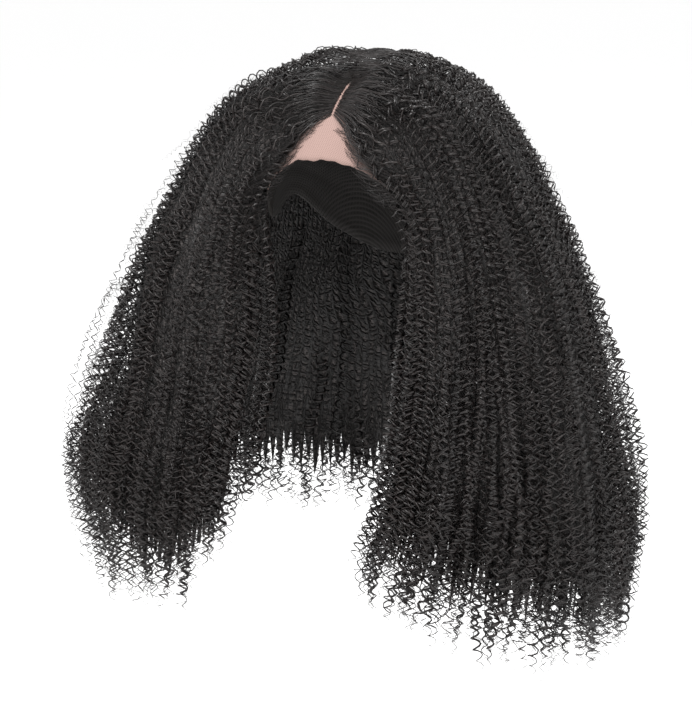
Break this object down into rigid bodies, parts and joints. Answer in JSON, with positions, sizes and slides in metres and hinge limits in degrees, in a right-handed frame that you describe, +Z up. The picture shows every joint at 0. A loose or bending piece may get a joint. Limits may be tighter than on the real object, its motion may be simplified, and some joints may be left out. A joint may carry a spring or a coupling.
{
  "type": "lace front wig",
  "caption": "Long full kinky-curly wig with a centre parting, a bare lace front at the forehead and a hollow net cap that fits over a head.",
  "frame": {"origin": "middle of the head hollow, level with the brow", "axes": "+Z up through the crown, -Y out of the face opening, +X towards the wearer's left"},
  "size_m": [0.4727, 0.343, 0.4497],
  "materials": {
    "hair": "near-black hair fibre in tight kinky curls, with a soft sheen",
    "lace": "fine matt beige net with a raw edge",
    "cap_net": "matt black stretch net with rows of stitching"
  },
  "bodies": {
    "root": {"cap": "cap_net", "lace_front": "lace", "frontal_hair_left": "hair", "frontal_hair_right": "hair", "side_weft_hair_left": "hair", "side_weft_hair_right": "hair", "back_weft_hair_left": "hair", "back_weft_hair_right": "hair"}
  },
  "joints": []
}
